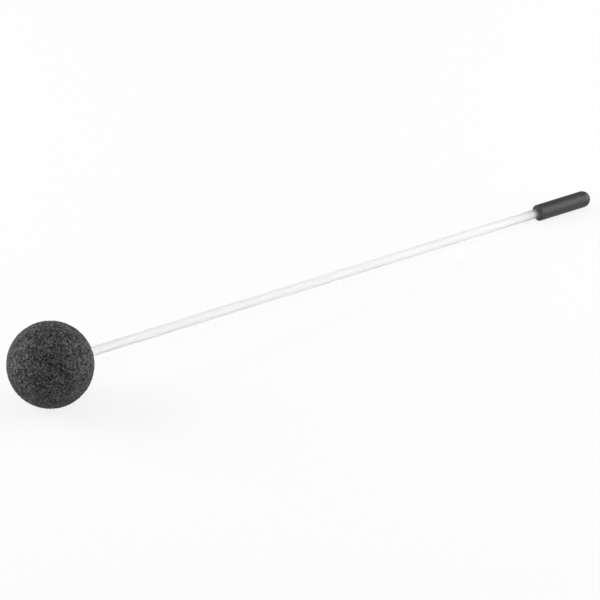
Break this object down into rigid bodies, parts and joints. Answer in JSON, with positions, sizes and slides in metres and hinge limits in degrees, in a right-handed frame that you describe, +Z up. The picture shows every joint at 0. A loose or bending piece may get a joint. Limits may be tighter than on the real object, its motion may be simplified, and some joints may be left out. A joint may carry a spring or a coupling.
{
  "type": "gong mallet",
  "caption": "Hand mallet for a gong: a crinkled rubber ball bonded on a slim translucent plastic rod, with a push-on black rubber cap as its grip.",
  "frame": {"origin": "on the floor, below the middle of the box of the mallet as it lies on its ball and on the end of its grip", "axes": "+X along the floor from the ball to the grip, +Z up"},
  "size_m": [0.3796, 0.046, 0.046],
  "materials": {
    "ball_rubber": "dark grey, dull, crinkled",
    "cured_glue": "clear amber, glossy",
    "rod_plastic": "frosted, translucent white",
    "grip_rubber": "black, smooth, slightly glossy"
  },
  "bodies": {
    "root": {"ball_head": "ball_rubber", "head_adhesive": "cured_glue", "shaft_rod": "rod_plastic", "grip_cap": "grip_rubber"}
  },
  "joints": []
}
